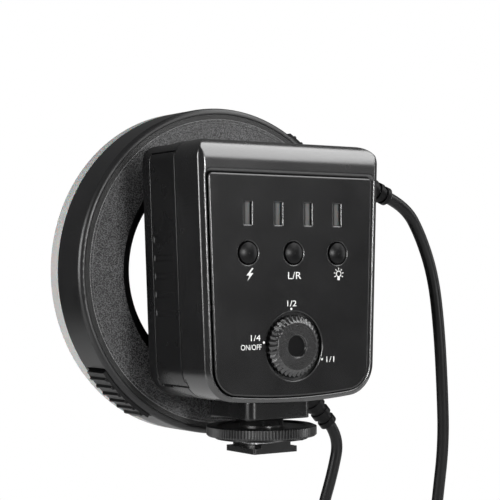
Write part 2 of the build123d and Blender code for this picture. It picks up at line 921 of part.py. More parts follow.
def from_ring_axis(turn_from_down, side):
    """Unit vector from the ring's middle, turned from straight down towards +X (side 1) or -X (-1)."""
    angle = math.radians(turn_from_down)
    return Vector(side * math.sin(angle), 0, -math.cos(angle))


def ring_relief_cut():
    """Hole through the rim for the ring head's strain relief, and room for its flange."""
    start = ring_relief_axis * (ring_radius - rim_wall) + Vector(0, ring_relief_y, ring_middle_z)
    plane = Plane(start, x_dir=(0, 1, 0), z_dir=ring_relief_axis)
    hole = extrude(plane * Circle(relief_neck_radius + seat_gap), amount=rim_wall + overrun)
    room = extrude(plane * Circle(relief_flange_radius + seat_gap), amount=-relief_flange - 2 * plate_gap)
    return hole + room


def latch_sector(inner, outer, middle_turn, half_turn, start_y, end_y):
    """A block between two radii and two angles about the ring's axis."""
    steps = [middle_turn - half_turn, middle_turn, middle_turn + half_turn]
    def spot(radius, turn):
        v = from_ring_axis(turn, -1)
        return (radius * v.X, ring_middle_z + radius * v.Z)
    outer_arc = ThreePointArc(*[spot(outer, turn) for turn in steps])
    inner_arc = ThreePointArc(*[spot(inner, turn) for turn in steps])
    first = Line(spot(inner, steps[0]), spot(outer, steps[0]))
    last = Line(spot(inner, steps[2]), spot(outer, steps[2]))
    return slab(make_face(Curve() + [outer_arc, inner_arc, first, last]), start_y, end_y)


def rim_housing():
    """Ring head housing: outer rim, inner wall, ledge and the web between them."""
    profile = make_face(
        Polyline(
            (ring_radius, ring_rear_y),
            (ring_radius, rim_front_y),
            (ring_radius - rim_wall, rim_front_y),
            (ring_radius - rim_wall, ledge_y + web_thickness),
            (hole_radius + hole_wall, ledge_y + web_thickness),
            (hole_radius + hole_wall, rim_front_y),
            (hole_radius, rim_front_y),
            (hole_radius, ledge_y),
            (ring_radius - rim_wall, ledge_y),
            (ring_radius - rim_wall, ring_rear_y),
            close=True,
        )
    )
    rear_corner = profile.vertices().group_by(Axis.Y)[0].sort_by(Axis.X)[-1]
    profile = fillet(rear_corner, rim_edge_radius)
    housing = Pos(0, 0, ring_middle_z) * revolve(profile, axis=Axis.Y)
    for index in range(ring_post_count):
        x, z = ring_post_place(index)
        housing += rod(x, z, ring_post_radius, ledge_y + web_thickness / 2, led_board_y)
        housing -= rod(x, z, board_screw_radius, led_board_y - board_screw_length, led_board_y)
    root = latch_button_root - latch_travel - latch_slot_gap
    for turn in latch_turns():
        slot = latch_sector(
            root, ring_radius + overrun, turn, latch_half_turn + latch_slot_turn(),
            latch_button_rear_y - latch_slot_gap, latch_button_front_y + latch_slot_gap,
        )
        housing -= slot
    return housing - ring_relief_cut()


def latch_slot_turn():
    """Extra angle that the latch button's slot needs, in degrees."""
    spread = latch_travel * math.radians(latch_half_turn)
    return math.degrees((2 * latch_slot_gap + spread) / ring_radius)


def latch_turns():
    """Angle of each latch button from straight down, towards -X."""
    return [latch_middle_turn, latch_middle_turn + 180]


def ring_post_place(index):
    """Place of one of the posts that carry the lamp board, as (x, z)."""
    v = from_ring_axis(ring_post_turn + index * 360 / ring_post_count, -1)
    return (ring_post_circle_radius * v.X, ring_middle_z + ring_post_circle_radius * v.Z)


def back_plate():
    """Flat rear cover of the ring head, round the seat."""
    start_y = ring_rear_y + seat_gap
    return ring(ring_radius - rim_wall - seat_gap, seat_radius, start_y, start_y + back_plate_thickness)


def diffuser():
    """Pale front cover: a ring-shaped bowl over the lamps."""
    inner = hole_radius
    wall_y = diffuser_front_y - diffuser_wall
    lip_outer = ring_radius - rim_wall - seat_gap
    lip_inner = hole_radius + hole_wall + seat_gap
    profile = make_face(
        Polyline(
            (ring_radius, rim_front_y + seat_gap),
            (ring_radius, diffuser_front_y),
            (inner, diffuser_front_y),
            (inner, rim_front_y + seat_gap),
            (lip_inner, rim_front_y + seat_gap),
            (lip_inner, wall_y),
            (lip_outer - diffuser_lip, wall_y),
            (lip_outer - diffuser_lip, rim_front_y - diffuser_lip),
            (lip_outer, rim_front_y - diffuser_lip),
            (lip_outer, rim_front_y + seat_gap),
            close=True,
        )
    )
    front_corners = profile.vertices().group_by(Axis.Y)[-1]
    profile = fillet(front_corners, diffuser_edge_radius)
    return Pos(0, 0, ring_middle_z) * revolve(profile, axis=Axis.Y)


def led_board():
    """Ring-shaped lamp board."""
    board = ring(led_board_radius, led_board_inner_radius, led_board_y, led_board_y + led_board_thickness)
    for index in range(ring_post_count):
        x, z = ring_post_place(index)
        board -= rod(x, z, board_screw_radius + thread_pass, led_board_y, led_board_y + led_board_thickness)
    return board


def led_board_screws():
    """Screws that hold the lamp board to its posts."""
    screws = []
    front_y = led_board_y + led_board_thickness
    for index in range(ring_post_count):
        x, z = ring_post_place(index)
        head = rod(x, z, board_screw_head_radius, front_y, front_y + board_screw_head)
        shank = rod(x, z, board_screw_radius - seat_gap, front_y - board_screw_length, front_y)
        screws.append(head + shank)
    return Compound(children=screws)


def leds():
    """Square lamps on a circle round the board."""
    start_y = led_board_y + led_board_thickness
    lamp = slab(Pos(led_circle_radius, 0) * Rectangle(led_size, led_size), start_y, start_y + led_height)
    middle = Pos(0, 0, ring_middle_z)
    lamps = [middle * Rot(0, index * 360 / led_count, 0) * lamp for index in range(led_count)]
    return Compound(children=lamps)


def latch(turn, start_y):
    """Release latch: button, arm and the plate whose jaw grips the far side."""
    end_y = start_y + latch_thickness
    plate = ring(latch_outer_radius, latch_inner_radius, start_y, end_y)
    middle = (latch_inner_radius + latch_outer_radius) / 2
    plate += latch_sector(jaw_radius, middle, turn + 180, jaw_half_turn, start_y, end_y)
    arm_turn = math.degrees(latch_arm_width / latch_outer_radius / 2)
    plate += latch_sector(middle, latch_button_root + spring_gap, turn, arm_turn, start_y, end_y)
    span = (latch_button_rear_y, latch_button_front_y)
    return plate + latch_sector(latch_button_root, latch_button_radius, turn, latch_half_turn, *span)


def latch_springs():
    """A bowed leaf behind each latch button, seated on a shelf of the housing's web."""
    springs = []
    root = latch_button_root - latch_travel - spring_gap
    start_y = ledge_y + web_thickness
    for turn in latch_turns():
        half = math.degrees(spring_half_length / root)
        outer = latch_sector(root - spring_thickness, root, turn, half, start_y, start_y + spring_width)
        springs.append(outer)
    return Compound(children=springs)


def ribbed_points(start, length, root_radius, tip_radius, ribs):
    """Outer points of a tapered, ribbed strain relief, as (radius, length)."""
    points = []
    pitch = length / (2 * ribs - 1)
    for index in range(2 * ribs - 1):
        near = start + index * pitch
        share = index / (2 * ribs - 1)
        radius = root_radius + (tip_radius - root_radius) * share
        if index % 2:
            radius -= relief_groove
        points += [(radius, near), (radius, near + pitch)]
    return points


def controller_relief():
    """Strain relief at the body's seam; its ribbed part droops."""
    wall_x = half_width(relief_z)
    inner_x = wall_x - wall
    flange_end = inner_x - plate_gap
    neck = cross_bar(flange_end - relief_flange, wall_x + relief_stand, seam_y, relief_z, relief_neck_radius)
    neck += cross_bar(flange_end - relief_flange, flange_end, seam_y, relief_z, relief_flange_radius)
    start = (wall_x, seam_y, relief_z)
    outer = ribbed_points(relief_stand, relief_length, relief_root_radius, relief_tip_radius, relief_ribs)
    points = [(0, relief_stand)] + outer + [(0, relief_stand + relief_length)]
    return neck + turned(points, along(start, droop_axis))


def ring_relief():
    """Strain relief that leaves the ring head's rim straight outwards."""
    centre = Vector(0, ring_relief_y, ring_middle_z)
    inner = ring_radius - rim_wall - plate_gap
    start = ring_radius + plate_gap
    outer = ribbed_points(
        start, ring_relief_length, ring_relief_root_radius, ring_relief_tip_radius, ring_relief_ribs
    )
    points = [(0, inner - relief_flange), (relief_flange_radius, inner - relief_flange)]
    points += [(relief_flange_radius, inner), (relief_neck_radius, inner)]
    points += [(relief_neck_radius, start)] + outer
    points += [(0, start + ring_relief_length)]
    return turned(points, along(centre, ring_relief_axis))


def cable_points():
    """Route of the cable, from the body's strain relief down in a loop and up to the ring head's."""
    wall_x = half_width(relief_z)
    start = Vector(wall_x, seam_y, relief_z) + droop_axis * (relief_stand + relief_length)
    ring_end = ring_radius + plate_gap + ring_relief_length
    end = Vector(0, ring_relief_y, ring_middle_z) + ring_relief_axis * ring_end
    free = [
        start + droop_axis * cable_exit_run,
        (71.2, -3.9, 77.0),
        (77.6, -3.7, 61.5),
        (80.8, -3.2, 41.5),
        (83.2, -2.0, 19.5),
        (85.2, -0.4, -3.0),
        (84.4, 2.6, -25.0),
        (83.4, 5.2, -48.0),
        (84.2, 6.0, -71.0),
        (84.7, 6.9, -94.0),
        (82.3, 10.5, -108.2),
        (75.9, 19.8, -116.4),
        (68.1, 31.2, -116.4),
        (61.7, 40.5, -108.2),
        (59.3, 44.1, -95.0),
        (58.6, 43.6, -74.0),
        (57.4, 41.4, -53.0),
        (53.9, 37.6, -33.0),
        (57.0, 33.4, -15.6),
        end + ring_relief_axis * cable_entry_run,
    ]
    return [start] + [Vector(*point) for point in free] + [end]


def cable():
    """Cable as straight runs joined by arcs as large as the runs allow."""
    points = cable_points()
    radii = []
    for before, here, after in zip(points, points[1:], points[2:]):
        turn = math.radians((here - before).get_angle(after - here))
        shorter = min((here - before).length, (after - here).length)
        radii.append(shorter * cable_arc_share / math.tan(turn / 2))
    print("cable arc radii:", [round(radius, 1) for radius in radii])
    route = FilletPolyline(*points, radius=radii)
    first = (points[1] - points[0]).normalized()
    tube = sweep(Plane(points[0], z_dir=first) * Circle(cable_radius), path=route)
    section = math.pi * cable_radius**2
    print("cable length:", round(route.length, 2), "volume / (section x length):",
          round(tube.volume / (section * route.length), 4))
    return tube


parts = {
    "rear_shell": rear_shell,
    "front_shell": front_shell,
    "control_panel": control_panel,
    "level_windows": level_windows,
    "indicator_lamps": indicator_lamps,
    "circuit_board": circuit_board,
    "board_screws": board_screws,
    "board_components": board_components,
    "tact_switches": tact_switches,
    "dial_potentiometer": dial_potentiometer,
    "power_dial": power_dial,
    "dial_shaft": dial_shaft,
    "flash_mode_button": lambda: control_button(-button_pitch),
    "side_select_button": lambda: control_button(0),
    "lamp_mode_button": lambda: control_button(button_pitch),
    "shell_screws": shell_screws,
    "battery_door": battery_door,
    "door_contacts": door_contacts,
    "battery_tray": battery_tray,
    "battery_cells": battery_cells,
    "battery_contacts": battery_contacts,
    "neck_block": neck_block,
    "neck_screws": neck_screws,
    "shoe_foot": shoe_foot,
    "foot_contacts": foot_contacts,
    "clamp_plate": clamp_plate,
    "locking_wheel": locking_wheel,
    "dock_collar": dock_collar,
    "dock_screws": dock_screws,
    "rim_housing": rim_housing,
    "back_plate": back_plate,
    "diffuser": diffuser,
    "led_board": led_board,
    "led_board_screws": led_board_screws,
    "leds": leds,
    "lower_latch": lambda: latch(latch_turns()[0], first_latch_y),
    "upper_latch": lambda: latch(latch_turns()[1], second_latch_y),
    "latch_springs": latch_springs,
    "controller_relief": controller_relief,
    "ring_relief": ring_relief,
    "cable": cable,
}


for name, make in parts.items():
    export_step(make(), f"parts/{name}.step")
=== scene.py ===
import math

import bmesh
import bpy
from mathutils import Matrix, Quaternion, Vector


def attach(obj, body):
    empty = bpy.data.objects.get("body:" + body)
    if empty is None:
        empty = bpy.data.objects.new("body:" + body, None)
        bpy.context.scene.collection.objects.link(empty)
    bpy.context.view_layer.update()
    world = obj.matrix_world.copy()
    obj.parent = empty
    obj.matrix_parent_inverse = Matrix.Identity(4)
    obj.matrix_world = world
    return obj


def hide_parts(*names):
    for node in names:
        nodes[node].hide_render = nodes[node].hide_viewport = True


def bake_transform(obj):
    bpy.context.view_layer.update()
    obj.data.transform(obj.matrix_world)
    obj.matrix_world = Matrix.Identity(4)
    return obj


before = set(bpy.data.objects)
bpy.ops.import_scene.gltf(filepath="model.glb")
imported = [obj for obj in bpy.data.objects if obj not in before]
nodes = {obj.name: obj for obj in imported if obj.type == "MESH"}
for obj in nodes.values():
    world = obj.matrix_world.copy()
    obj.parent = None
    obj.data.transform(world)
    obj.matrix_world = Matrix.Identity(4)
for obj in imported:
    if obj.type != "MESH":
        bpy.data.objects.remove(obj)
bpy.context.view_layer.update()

MM = 0.001
RING_MIDDLE_Z = 64.0 * MM

# Helpers for nodes and meshes
def grey(level):
    """An opaque neutral colour."""
    return (level, level, level, 1)


def put(tree, value, socket):
    """A value set on a socket, or another socket linked to it."""
    if isinstance(value, bpy.types.NodeSocket):
        tree.links.new(value, socket)
    else:
        socket.default_value = value


def math_node(tree, operation, *values):
    """The output of a math node whose inputs are sockets or numbers."""
    node = tree.nodes.new("ShaderNodeMath")
    node.operation = operation
    for socket, value in zip(node.inputs, values):
        put(tree, value, socket)
    return node.outputs["Value"]


def ranged(tree, source, low, high, from_low=0.3, from_high=0.7):
    """A value mapped to low..high; the range it comes from is a noise texture's unless given."""
    node = tree.nodes.new("ShaderNodeMapRange")
    node.inputs["From Min"].default_value = from_low
    node.inputs["From Max"].default_value = from_high
    node.inputs["To Min"].default_value = low
    node.inputs["To Max"].default_value = high
    tree.links.new(source, node.inputs["Value"])
    return node.outputs["Result"]


def coordinate(tree, axis):
    """One coordinate, X, Y or Z, of a shaded point."""
    place = tree.nodes.new("ShaderNodeTexCoord")
    parts = tree.nodes.new("ShaderNodeSeparateXYZ")
    tree.links.new(place.outputs["Object"], parts.inputs["Vector"])
    return parts.outputs[axis]


def axis_distance(tree, across=(1, 1, 1), shift=(0, 0, 0)):
    """The distance of a shaded point from an axis, which has a 0 in across, or from the origin."""
    place = tree.nodes.new("ShaderNodeTexCoord")
    flat = tree.nodes.new("ShaderNodeVectorMath")
    flat.operation = "MULTIPLY_ADD"
    flat.inputs[1].default_value = across
    flat.inputs[2].default_value = shift
    tree.links.new(place.outputs["Object"], flat.inputs[0])
    reach = tree.nodes.new("ShaderNodeVectorMath")
    reach.operation = "LENGTH"
    tree.links.new(flat.outputs["Vector"], reach.inputs[0])
    return reach.outputs["Value"]


def ring_distance(tree):
    """The distance of a shaded point from the ring's axis."""
    return axis_distance(tree, (1, 0, 1), (0, 0, -RING_MIDDLE_Z))


def cover(material, factor, colour, blend_type="MIX"):
    """A colour laid over the finish's own by factor."""
    tree = material.node_tree
    shader = tree.nodes["Principled BSDF"]
    mix = tree.nodes.new("ShaderNodeMix")
    mix.data_type = "RGBA"
    mix.blend_type = blend_type
    put(tree, factor, mix.inputs["Factor"])
    tree.links.new(shader.inputs["Base Color"].links[0].from_socket, mix.inputs["A"])
    put(tree, colour, mix.inputs["B"])
    tree.links.new(mix.outputs["Result"], shader.inputs["Base Color"])
    return material


def press(material, height, depth, invert=False):
    """A bump by height, laid over the finish's own."""
    tree = material.node_tree
    shader = tree.nodes["Principled BSDF"]
    bump = tree.nodes.new("ShaderNodeBump")
    bump.invert = invert
    bump.inputs["Distance"].default_value = depth
    tree.links.new(height, bump.inputs["Height"])
    tree.links.new(shader.inputs["Normal"].links[0].from_socket, bump.inputs["Normal"])
    tree.links.new(bump.outputs["Normal"], shader.inputs["Normal"])
    return material


def add_object(name, data):
    """A new object with that data, in the scene."""
    piece = bpy.data.objects.new(name, data)
    bpy.context.scene.collection.objects.link(piece)
    return piece


def join_rings(bm, first, second):
    """A band of faces between two rings of as many corners."""
    for step in range(len(first)):
        after = (step + 1) % len(first)
        bm.faces.new((first[step], first[after], second[after], second[step]))


def mesh_from(bm, name):
    """The mesh of closed solids, with their faces turned outwards."""
    bmesh.ops.recalc_face_normals(bm, faces=bm.faces)
    mesh = bpy.data.meshes.new(name)
    bm.to_mesh(mesh)
    bm.free()
    return mesh


# Camera: the place and direction from which the photograph was taken
CAMERA_PLACE = Vector((-297.82, -433.69, 61.8)) * MM
CAMERA_YAW = math.radians(34.067)
CAMERA_PITCH = math.radians(1.029)
CAMERA_ROLL = math.radians(-0.285)
CAMERA_LENS = 106.5
SENSOR_WIDTH = 36.0
CLIP_START = 0.01
CLIP_END = 20


def make_camera():
    """A camera that looks along yaw and pitch, rolled a little."""
    forward = Vector((
        math.sin(CAMERA_YAW) * math.cos(CAMERA_PITCH),
        math.cos(CAMERA_YAW) * math.cos(CAMERA_PITCH),
        math.sin(CAMERA_PITCH),
    ))
    level_right = Vector((math.cos(CAMERA_YAW), -math.sin(CAMERA_YAW), 0))
    level_up = level_right.cross(forward)
    right = level_right * math.cos(CAMERA_ROLL) + level_up * math.sin(CAMERA_ROLL)
    up = level_up * math.cos(CAMERA_ROLL) - level_right * math.sin(CAMERA_ROLL)
    data = bpy.data.cameras.new("camera")
    data.lens = CAMERA_LENS
    data.sensor_width = SENSOR_WIDTH
    data.clip_start = CLIP_START
    data.clip_end = CLIP_END
    camera = add_object("camera", data)
    turn = Matrix((right, up, -forward)).transposed().to_4x4()
    camera.matrix_world = Matrix.Translation(CAMERA_PLACE) @ turn
    bpy.context.scene.camera = camera


# Light: a white surround, dimmer in reflections, and four soft lamps
SURROUND_DIFFUSE = 0.05
SURROUND_HIGH = 0.20
SURROUND_LOW = 0.02
SURROUND_TOWARDS = (0.25, -0.15, 0.95)
SURROUND_FADE_START = -0.5
SURROUND_FADE_END = 0.75


def make_world():
    """White to the camera; in reflections grey, brighter above and behind than low at the front left."""
    world = bpy.data.worlds.new("surround")
    bpy.context.scene.world = world
    world.use_nodes = True
    tree = world.node_tree
    tree.nodes.clear()
    place = tree.nodes.new("ShaderNodeTexCoord")
    facing = tree.nodes.new("ShaderNodeVectorMath")
    facing.operation = "DOT_PRODUCT"
    facing.inputs[1].default_value = SURROUND_TOWARDS
    tree.links.new(place.outputs["Generated"], facing.inputs[0])
    span = (SURROUND_FADE_START, SURROUND_FADE_END)
    fade = ranged(tree, facing.outputs["Value"], SURROUND_LOW, SURROUND_HIGH, *span)
    path = tree.nodes.new("ShaderNodeLightPath")
    soft = tree.nodes.new("ShaderNodeMix")
    soft.inputs["A"].default_value = SURROUND_DIFFUSE
    tree.links.new(path.outputs["Is Glossy Ray"], soft.inputs["Factor"])
    tree.links.new(fade, soft.inputs["B"])
    seen = math_node(tree, "MAXIMUM", path.outputs["Is Camera Ray"], path.outputs["Is Transmission Ray"])
    final = tree.nodes.new("ShaderNodeMix")
    final.inputs["B"].default_value = 1.0
    tree.links.new(seen, final.inputs["Factor"])
    tree.links.new(soft.outputs["Result"], final.inputs["A"])
    background = tree.nodes.new("ShaderNodeBackground")
    background.inputs["Color"].default_value = grey(1)
    tree.links.new(final.outputs["Result"], background.inputs["Strength"])
    output = tree.nodes.new("ShaderNodeOutputWorld")
    tree.links.new(background.outputs["Background"], output.inputs["Surface"])


# Lamps: name, place, width, height, power and turn about their own axis in degrees
LAMP_TARGET = (0, 0.01, 0.06)
LAMPS = [
    ("overhead_softbox", (0.50, -0.36, 0.70), 0.40, 1.20, 8.5, -45),
    ("rear_key", (0.12, -1.25, 0.15), 0.16, 0.16, 12, 0),
    ("left_strip", (-0.62, -0.03, 0.17), 0.40, 0.30, 5.5, 0),
    ("right_strip", (0.95, -0.42, 0.35), 0.20, 1.0, 3.2, 0),
]


def make_lights():
    """A wide softbox overhead on the right, a key from behind and a strip at either side."""
    for name, place, width, height, power, twist in LAMPS:
        data = bpy.data.lights.new(name, "AREA")
        data.shape = "RECTANGLE"
        data.size = width
        data.size_y = height
        data.energy = power
        lamp = add_object(name, data)
        lamp.location = place
        facing = (Vector(LAMP_TARGET) - Vector(place)).to_track_quat("-Z", "Y")
        lamp.rotation_euler = (facing @ Quaternion((0, 0, 1), math.radians(twist))).to_euler()


# Floor
FLOOR_PLACE = (0.0, 0.02, -0.135)
FLOOR_RADIUS = 0.62
FLOOR_SIDES = 96
FLOOR_TONE = 0.86
FLOOR_ROUGHNESS = 0.9
FLOOR_SPECULAR = 0.1
FLOOR_PLAIN_SHARE = 0.3


def glow_floor_edge(material):
    """A painted glow, seen only by the camera: the floor brightens outwards, so that it meets the white
    surround softly.
    """
    tree = material.node_tree
    shader = tree.nodes["Principled BSDF"]
    lift = ranged(tree, axis_distance(tree), 0, 1, FLOOR_RADIUS * FLOOR_PLAIN_SHARE, FLOOR_RADIUS)
    path = tree.nodes.new("ShaderNodeLightPath")
    shader.inputs["Emission Color"].default_value = grey(1)
    seen = math_node(tree, "MULTIPLY", lift, path.outputs["Is Camera Ray"])
    tree.links.new(seen, shader.inputs["Emission Strength"])


def make_floor():
    """A round pale floor under the hanging cable."""
    mesh = bpy.data.meshes.new("floor")
    bm = bmesh.new()
    bmesh.ops.create_circle(bm, cap_ends=True, segments=FLOOR_SIDES, radius=FLOOR_RADIUS)
    bm.to_mesh(mesh)
    bm.free()
    floor = add_object("floor", mesh)
    floor.location = FLOOR_PLACE
    material = bpy.data.materials.new("floor_paper")
    material.use_nodes = True
    shader = material.node_tree.nodes["Principled BSDF"]
    shader.inputs["Base Color"].default_value = grey(FLOOR_TONE)
    shader.inputs["Roughness"].default_value = FLOOR_ROUGHNESS
    shader.inputs["Specular IOR Level"].default_value = FLOOR_SPECULAR
    glow_floor_edge(material)
    mesh.materials.append(material)


# Finishes
BLOTCH_SIZE = 12 * MM
BLOTCH_DETAIL = 3.0
GRAIN_DETAIL = 2.0
SPECKLE_FROM = 0.42
SPECKLE_TO = 0.62
ROUGHNESS_SPREAD = 0.015
SUBSURFACE_SCALE = 4 * MM
EDGE_SAMPLES = 16


def noise(tree, place, size, detail):
    """A noise texture whose blotches are about size metres across."""
    texture = tree.nodes.new("ShaderNodeTexNoise")
    texture.inputs["Scale"].default_value = 1 / size
    texture.inputs["Detail"].default_value = detail
    tree.links.new(place.outputs["Object"], texture.inputs["Vector"])
    return texture.outputs["Fac"]


def surface(
    name, colour, roughness, grain=0.35 * MM, depth=0.02 * MM, specular=0.25, blotch=0.15,
    speckle=0.0, soft_edge=0.18 * MM, metallic=0.0, subsurface=0.0
):
    """A moulded or machined finish: grain in the bump, slow and fine colour variation, softened edges."""
    material = bpy.data.materials.new(name)
    material.use_nodes = True
    tree = material.node_tree
    shader = tree.nodes["Principled BSDF"]
    place = tree.nodes.new("ShaderNodeTexCoord")
    slow = noise(tree, place, BLOTCH_SIZE, BLOTCH_DETAIL)
    fine = noise(tree, place, grain, GRAIN_DETAIL)
    tint = tree.nodes.new("ShaderNodeMix")
    tint.data_type = "RGBA"
    tint.inputs["A"].default_value = (*[c * (1 - blotch) for c in colour], 1)
    tint.inputs["B"].default_value = (*[min(1, c * (1 + blotch)) for c in colour], 1)
    tree.links.new(ranged(tree, slow, 0, 1), tint.inputs["Factor"])
    tree.links.new(tint.outputs["Result"], shader.inputs["Base Color"])
    if speckle:
        level = tree.nodes.new("ShaderNodeCombineColor")
        value = ranged(tree, fine, 1 - speckle, 1 + speckle, SPECKLE_FROM, SPECKLE_TO)
        for channel in ("Red", "Green", "Blue"):
            tree.links.new(value, level.inputs[channel])
        cover(material, 1.0, level.outputs["Color"], "MULTIPLY")
    spread = (roughness - ROUGHNESS_SPREAD, roughness + ROUGHNESS_SPREAD)
    tree.links.new(ranged(tree, slow, *spread), shader.inputs["Roughness"])
    shader.inputs["Specular IOR Level"].default_value = specular
    shader.inputs["Metallic"].default_value = metallic
    shader.inputs["Subsurface Weight"].default_value = subsurface
    shader.inputs["Subsurface Scale"].default_value = SUBSURFACE_SCALE
    edge = tree.nodes.new("ShaderNodeBevel")
    edge.samples = EDGE_SAMPLES
    edge.inputs["Radius"].default_value = soft_edge
    tree.links.new(edge.outputs["Normal"], shader.inputs["Normal"])
    return press(material, fine, depth)


def give(material, *names):
    """CAD nodes get that material."""
    for name in names:
        mesh = nodes[name].data
        mesh.materials.clear()
        mesh.materials.append(material)


# Neutral blacks of the mouldings, lightest first
DIAL_BLACK = (0.0060, 0.0060, 0.0062)
RIM_BLACK = (0.0055, 0.0055, 0.0058)
BUTTON_BLACK = (0.0045, 0.0045, 0.0047)
WHEEL_BLACK = (0.0032, 0.0032, 0.0034)
CABLE_BLACK = (0.0030, 0.0030, 0.0032)
BODY_BLACK = (0.0022, 0.0022, 0.0024)
RELIEF_BLACK = (0.0020, 0.0020, 0.0022)
SIDE_BLACK = (0.0018, 0.0018, 0.0020)
LATCH_BLACK = (0.0016, 0.0016, 0.0018)

# Colours of the other pieces
PLATE_GREY = (0.042, 0.042, 0.043)
WINDOW_GREY = (0.11, 0.11, 0.108)
FROST_GREY = (0.28, 0.28, 0.275)
INNER_BLACK = (0.03, 0.03, 0.03)
PLATED_BLACK = (0.05, 0.05, 0.052)
RESIN_YELLOW = (0.75, 0.70, 0.42)
BOARD_GREEN = (0.012, 0.09, 0.035)
SLEEVE_BLUE = (0.22, 0.24, 0.28)
STEEL_GREY = (0.45, 0.45, 0.46)
ZINC_GREY = (0.50, 0.50, 0.50)
GILT_YELLOW = (0.70, 0.52, 0.22)


def dress_control_unit():
    """Finishes of the control unit, each with roughness, grain, bump depth and specular level."""
    body = surface("body_grain", BODY_BLACK, 0.26, 0.4 * MM, 0.002 * MM, 1.0, soft_edge=1.0 * MM)
    give(body, "rear_shell")
    side = surface("side_satin", SIDE_BLACK, 0.28, 0.4 * MM, 0.004 * MM, 0.5, soft_edge=0.4 * MM)
    give(side, "front_shell")
    door = surface("door_satin", SIDE_BLACK, 0.28, 0.4 * MM, 0.004 * MM, 0.5, soft_edge=0.4 * MM)
    give(grip_grooves(door), "battery_door")
    neck = surface("neck_satin", BODY_BLACK, 0.27, 0.4 * MM, 0.008 * MM, 0.5, soft_edge=1.2 * MM)
    give(neck, "neck_block")
    panel = surface("panel_satin", BODY_BLACK, 0.25, 0.3 * MM, 0.014 * MM, 0.6, soft_edge=0.9 * MM)
    give(panel, "control_panel")
    gloss = surface("button_gloss", BUTTON_BLACK, 0.30, 0.6 * MM, 0.004 * MM, 0.10, soft_edge=0.3 * MM)
    give(gloss, "flash_mode_button", "side_select_button", "lamp_mode_button")
    dial = surface("dial_grain", DIAL_BLACK, 0.25, 0.5 * MM, 0.10 * MM, 0.9, speckle=1.0)
    give(dial, "power_dial")
    window = surface("window_pale", WINDOW_GREY, 0.32, 0.5 * MM, 0.01 * MM, 0.4, 0.06, subsurface=0.3)
    give(window_painted_streaks(window), "level_windows")
    wheel = surface("wheel_satin", WHEEL_BLACK, 0.22, 0.3 * MM, 0.006 * MM, 0.7, soft_edge=0.1 * MM)
    give(wheel, "locking_wheel")
    foot = surface("foot_satin", DIAL_BLACK, 0.28, 0.3 * MM, 0.01 * MM, 0.5)
    stem_height = coordinate(foot.node_tree, "Z")
    fine_ridges(foot, stem_height, STEM_RIDGE_PITCH, STEM_RIDGE_DEPTH, STEM_LOW_Z, STEM_HIGH_Z)
    give(foot, "shoe_foot")


def dress_ring_head():
    """Finishes of the ring head and of the collar that it sits on."""
    rim = surface("rim_grain", RIM_BLACK, 0.36, 0.3 * MM, 0.01 * MM, 0.35, soft_edge=0.2 * MM)
    give(rim, "rim_housing", "dock_collar")
    plate = surface("back_plate_spark", PLATE_GREY, 0.50, 0.4 * MM, 0.20 * MM, 0.35, speckle=1.0)
    give(black_border(plate), "back_plate")
    latch = surface("latch_satin", LATCH_BLACK, 0.36, 0.3 * MM, 0.01 * MM, 0.2)
    give(latch, "lower_latch", "upper_latch")
    frost = surface("diffuser_frost", FROST_GREY, 0.45, 0.45 * MM, 0.03 * MM, 0.35, 0.03, subsurface=0.35)
    fine_ridges(frost, ring_distance(frost.node_tree), FROST_RIDGE_PITCH, FROST_RIDGE_DEPTH)
    # The diffuser's front is painted paler than its side, as if lit
    give(painted_bright_front(frost), "diffuser")
    plated = surface("plated_black", PLATED_BLACK, 0.3, 0.3 * MM, 0.01 * MM, 0.5, metallic=0.8)
    give(cross_recess(plated), "dock_screws")


def dress_inner_pieces():
    """Finishes of the pieces inside, of the bare metal and of the strain reliefs."""
    inner = surface("inner_black", INNER_BLACK, 0.5)
    give(inner, "battery_tray", "tact_switches", "dial_potentiometer", "board_components")
    resin = surface("lamp_resin", RESIN_YELLOW, 0.25, 0.4 * MM, 0.01 * MM, 0.5)
    give(resin, "indicator_lamps", "leds")
    board = surface("board_green", BOARD_GREEN, 0.30, 0.6 * MM, 0.01 * MM, 0.5)
    give(board, "circuit_board", "led_board")
    sleeve = surface("cell_sleeve", SLEEVE_BLUE, 0.28, 0.8 * MM, 0.01 * MM, 0.5)
    give(sleeve, "battery_cells")
    steel = surface("machined_steel", STEEL_GREY, 0.28, 0.12 * MM, 0.01 * MM, 0.5, metallic=1.0)
    give(steel, "clamp_plate", "dial_shaft")
    zinc = surface("zinc", ZINC_GREY, 0.3, 0.3 * MM, 0.01 * MM, 0.5, metallic=1.0)
    give(zinc, "shell_screws", "board_screws", "neck_screws", "led_board_screws", "latch_springs")
    gilt = surface("gilt", GILT_YELLOW, 0.24, 0.3 * MM, 0.01 * MM, 0.5, metallic=1.0)
    give(gilt, "foot_contacts", "battery_contacts", "door_contacts")
    rubber = surface("relief_rubber", RELIEF_BLACK, 0.38, 0.4 * MM, 0.01 * MM, 0.12)
    give(rubber, "controller_relief", "ring_relief")


# Level windows: stops of each window's streaks of painted light and shade as shares of its width, with their
# levels
WINDOW_PITCH = 12.6007 * MM
WINDOW_HALF_WIDTH = 1.55 * MM
WINDOW_PAINTED_STREAK_SHARES = [
    (0.0, 0.5), (0.12, 0.5), (0.18, 0.08), (0.34, 0.10), (0.42, 0.8), (0.85, 1.0), (0.97, 0.4)
]


